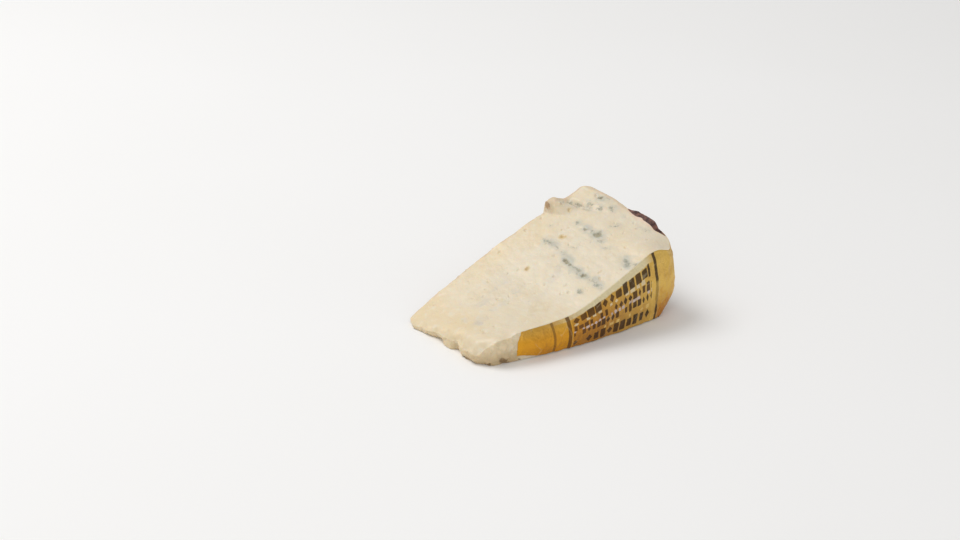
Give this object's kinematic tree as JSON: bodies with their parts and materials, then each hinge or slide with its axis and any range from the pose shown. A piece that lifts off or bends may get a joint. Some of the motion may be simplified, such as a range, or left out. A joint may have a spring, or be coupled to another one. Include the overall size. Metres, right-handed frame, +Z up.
{
  "type": "blue cheese wedge",
  "caption": "Wedge of soft blue-veined cheese lying on a cut face, with pricked mould veins, natural rind on its outer wall and printed foil on its wheel-end side.",
  "frame": {"origin": "under the middle of the whole wedge, on the surface it rests on", "axes": "+X from the blunt tip to the wheel's outer wall, +Y from the labelled side to the bare side, +Z up from the lower cut face"},
  "size_m": [0.1618, 0.0984, 0.0631],
  "materials": {
    "paste": "moist, faintly glossy soft cheese with grey-blue mould veins and a beige to dark brown natural rind",
    "label_foil": "satin golden printed foil, finely creased"
  },
  "bodies": {
    "root": {"cheese": "paste", "label": "label_foil"}
  },
  "joints": []
}
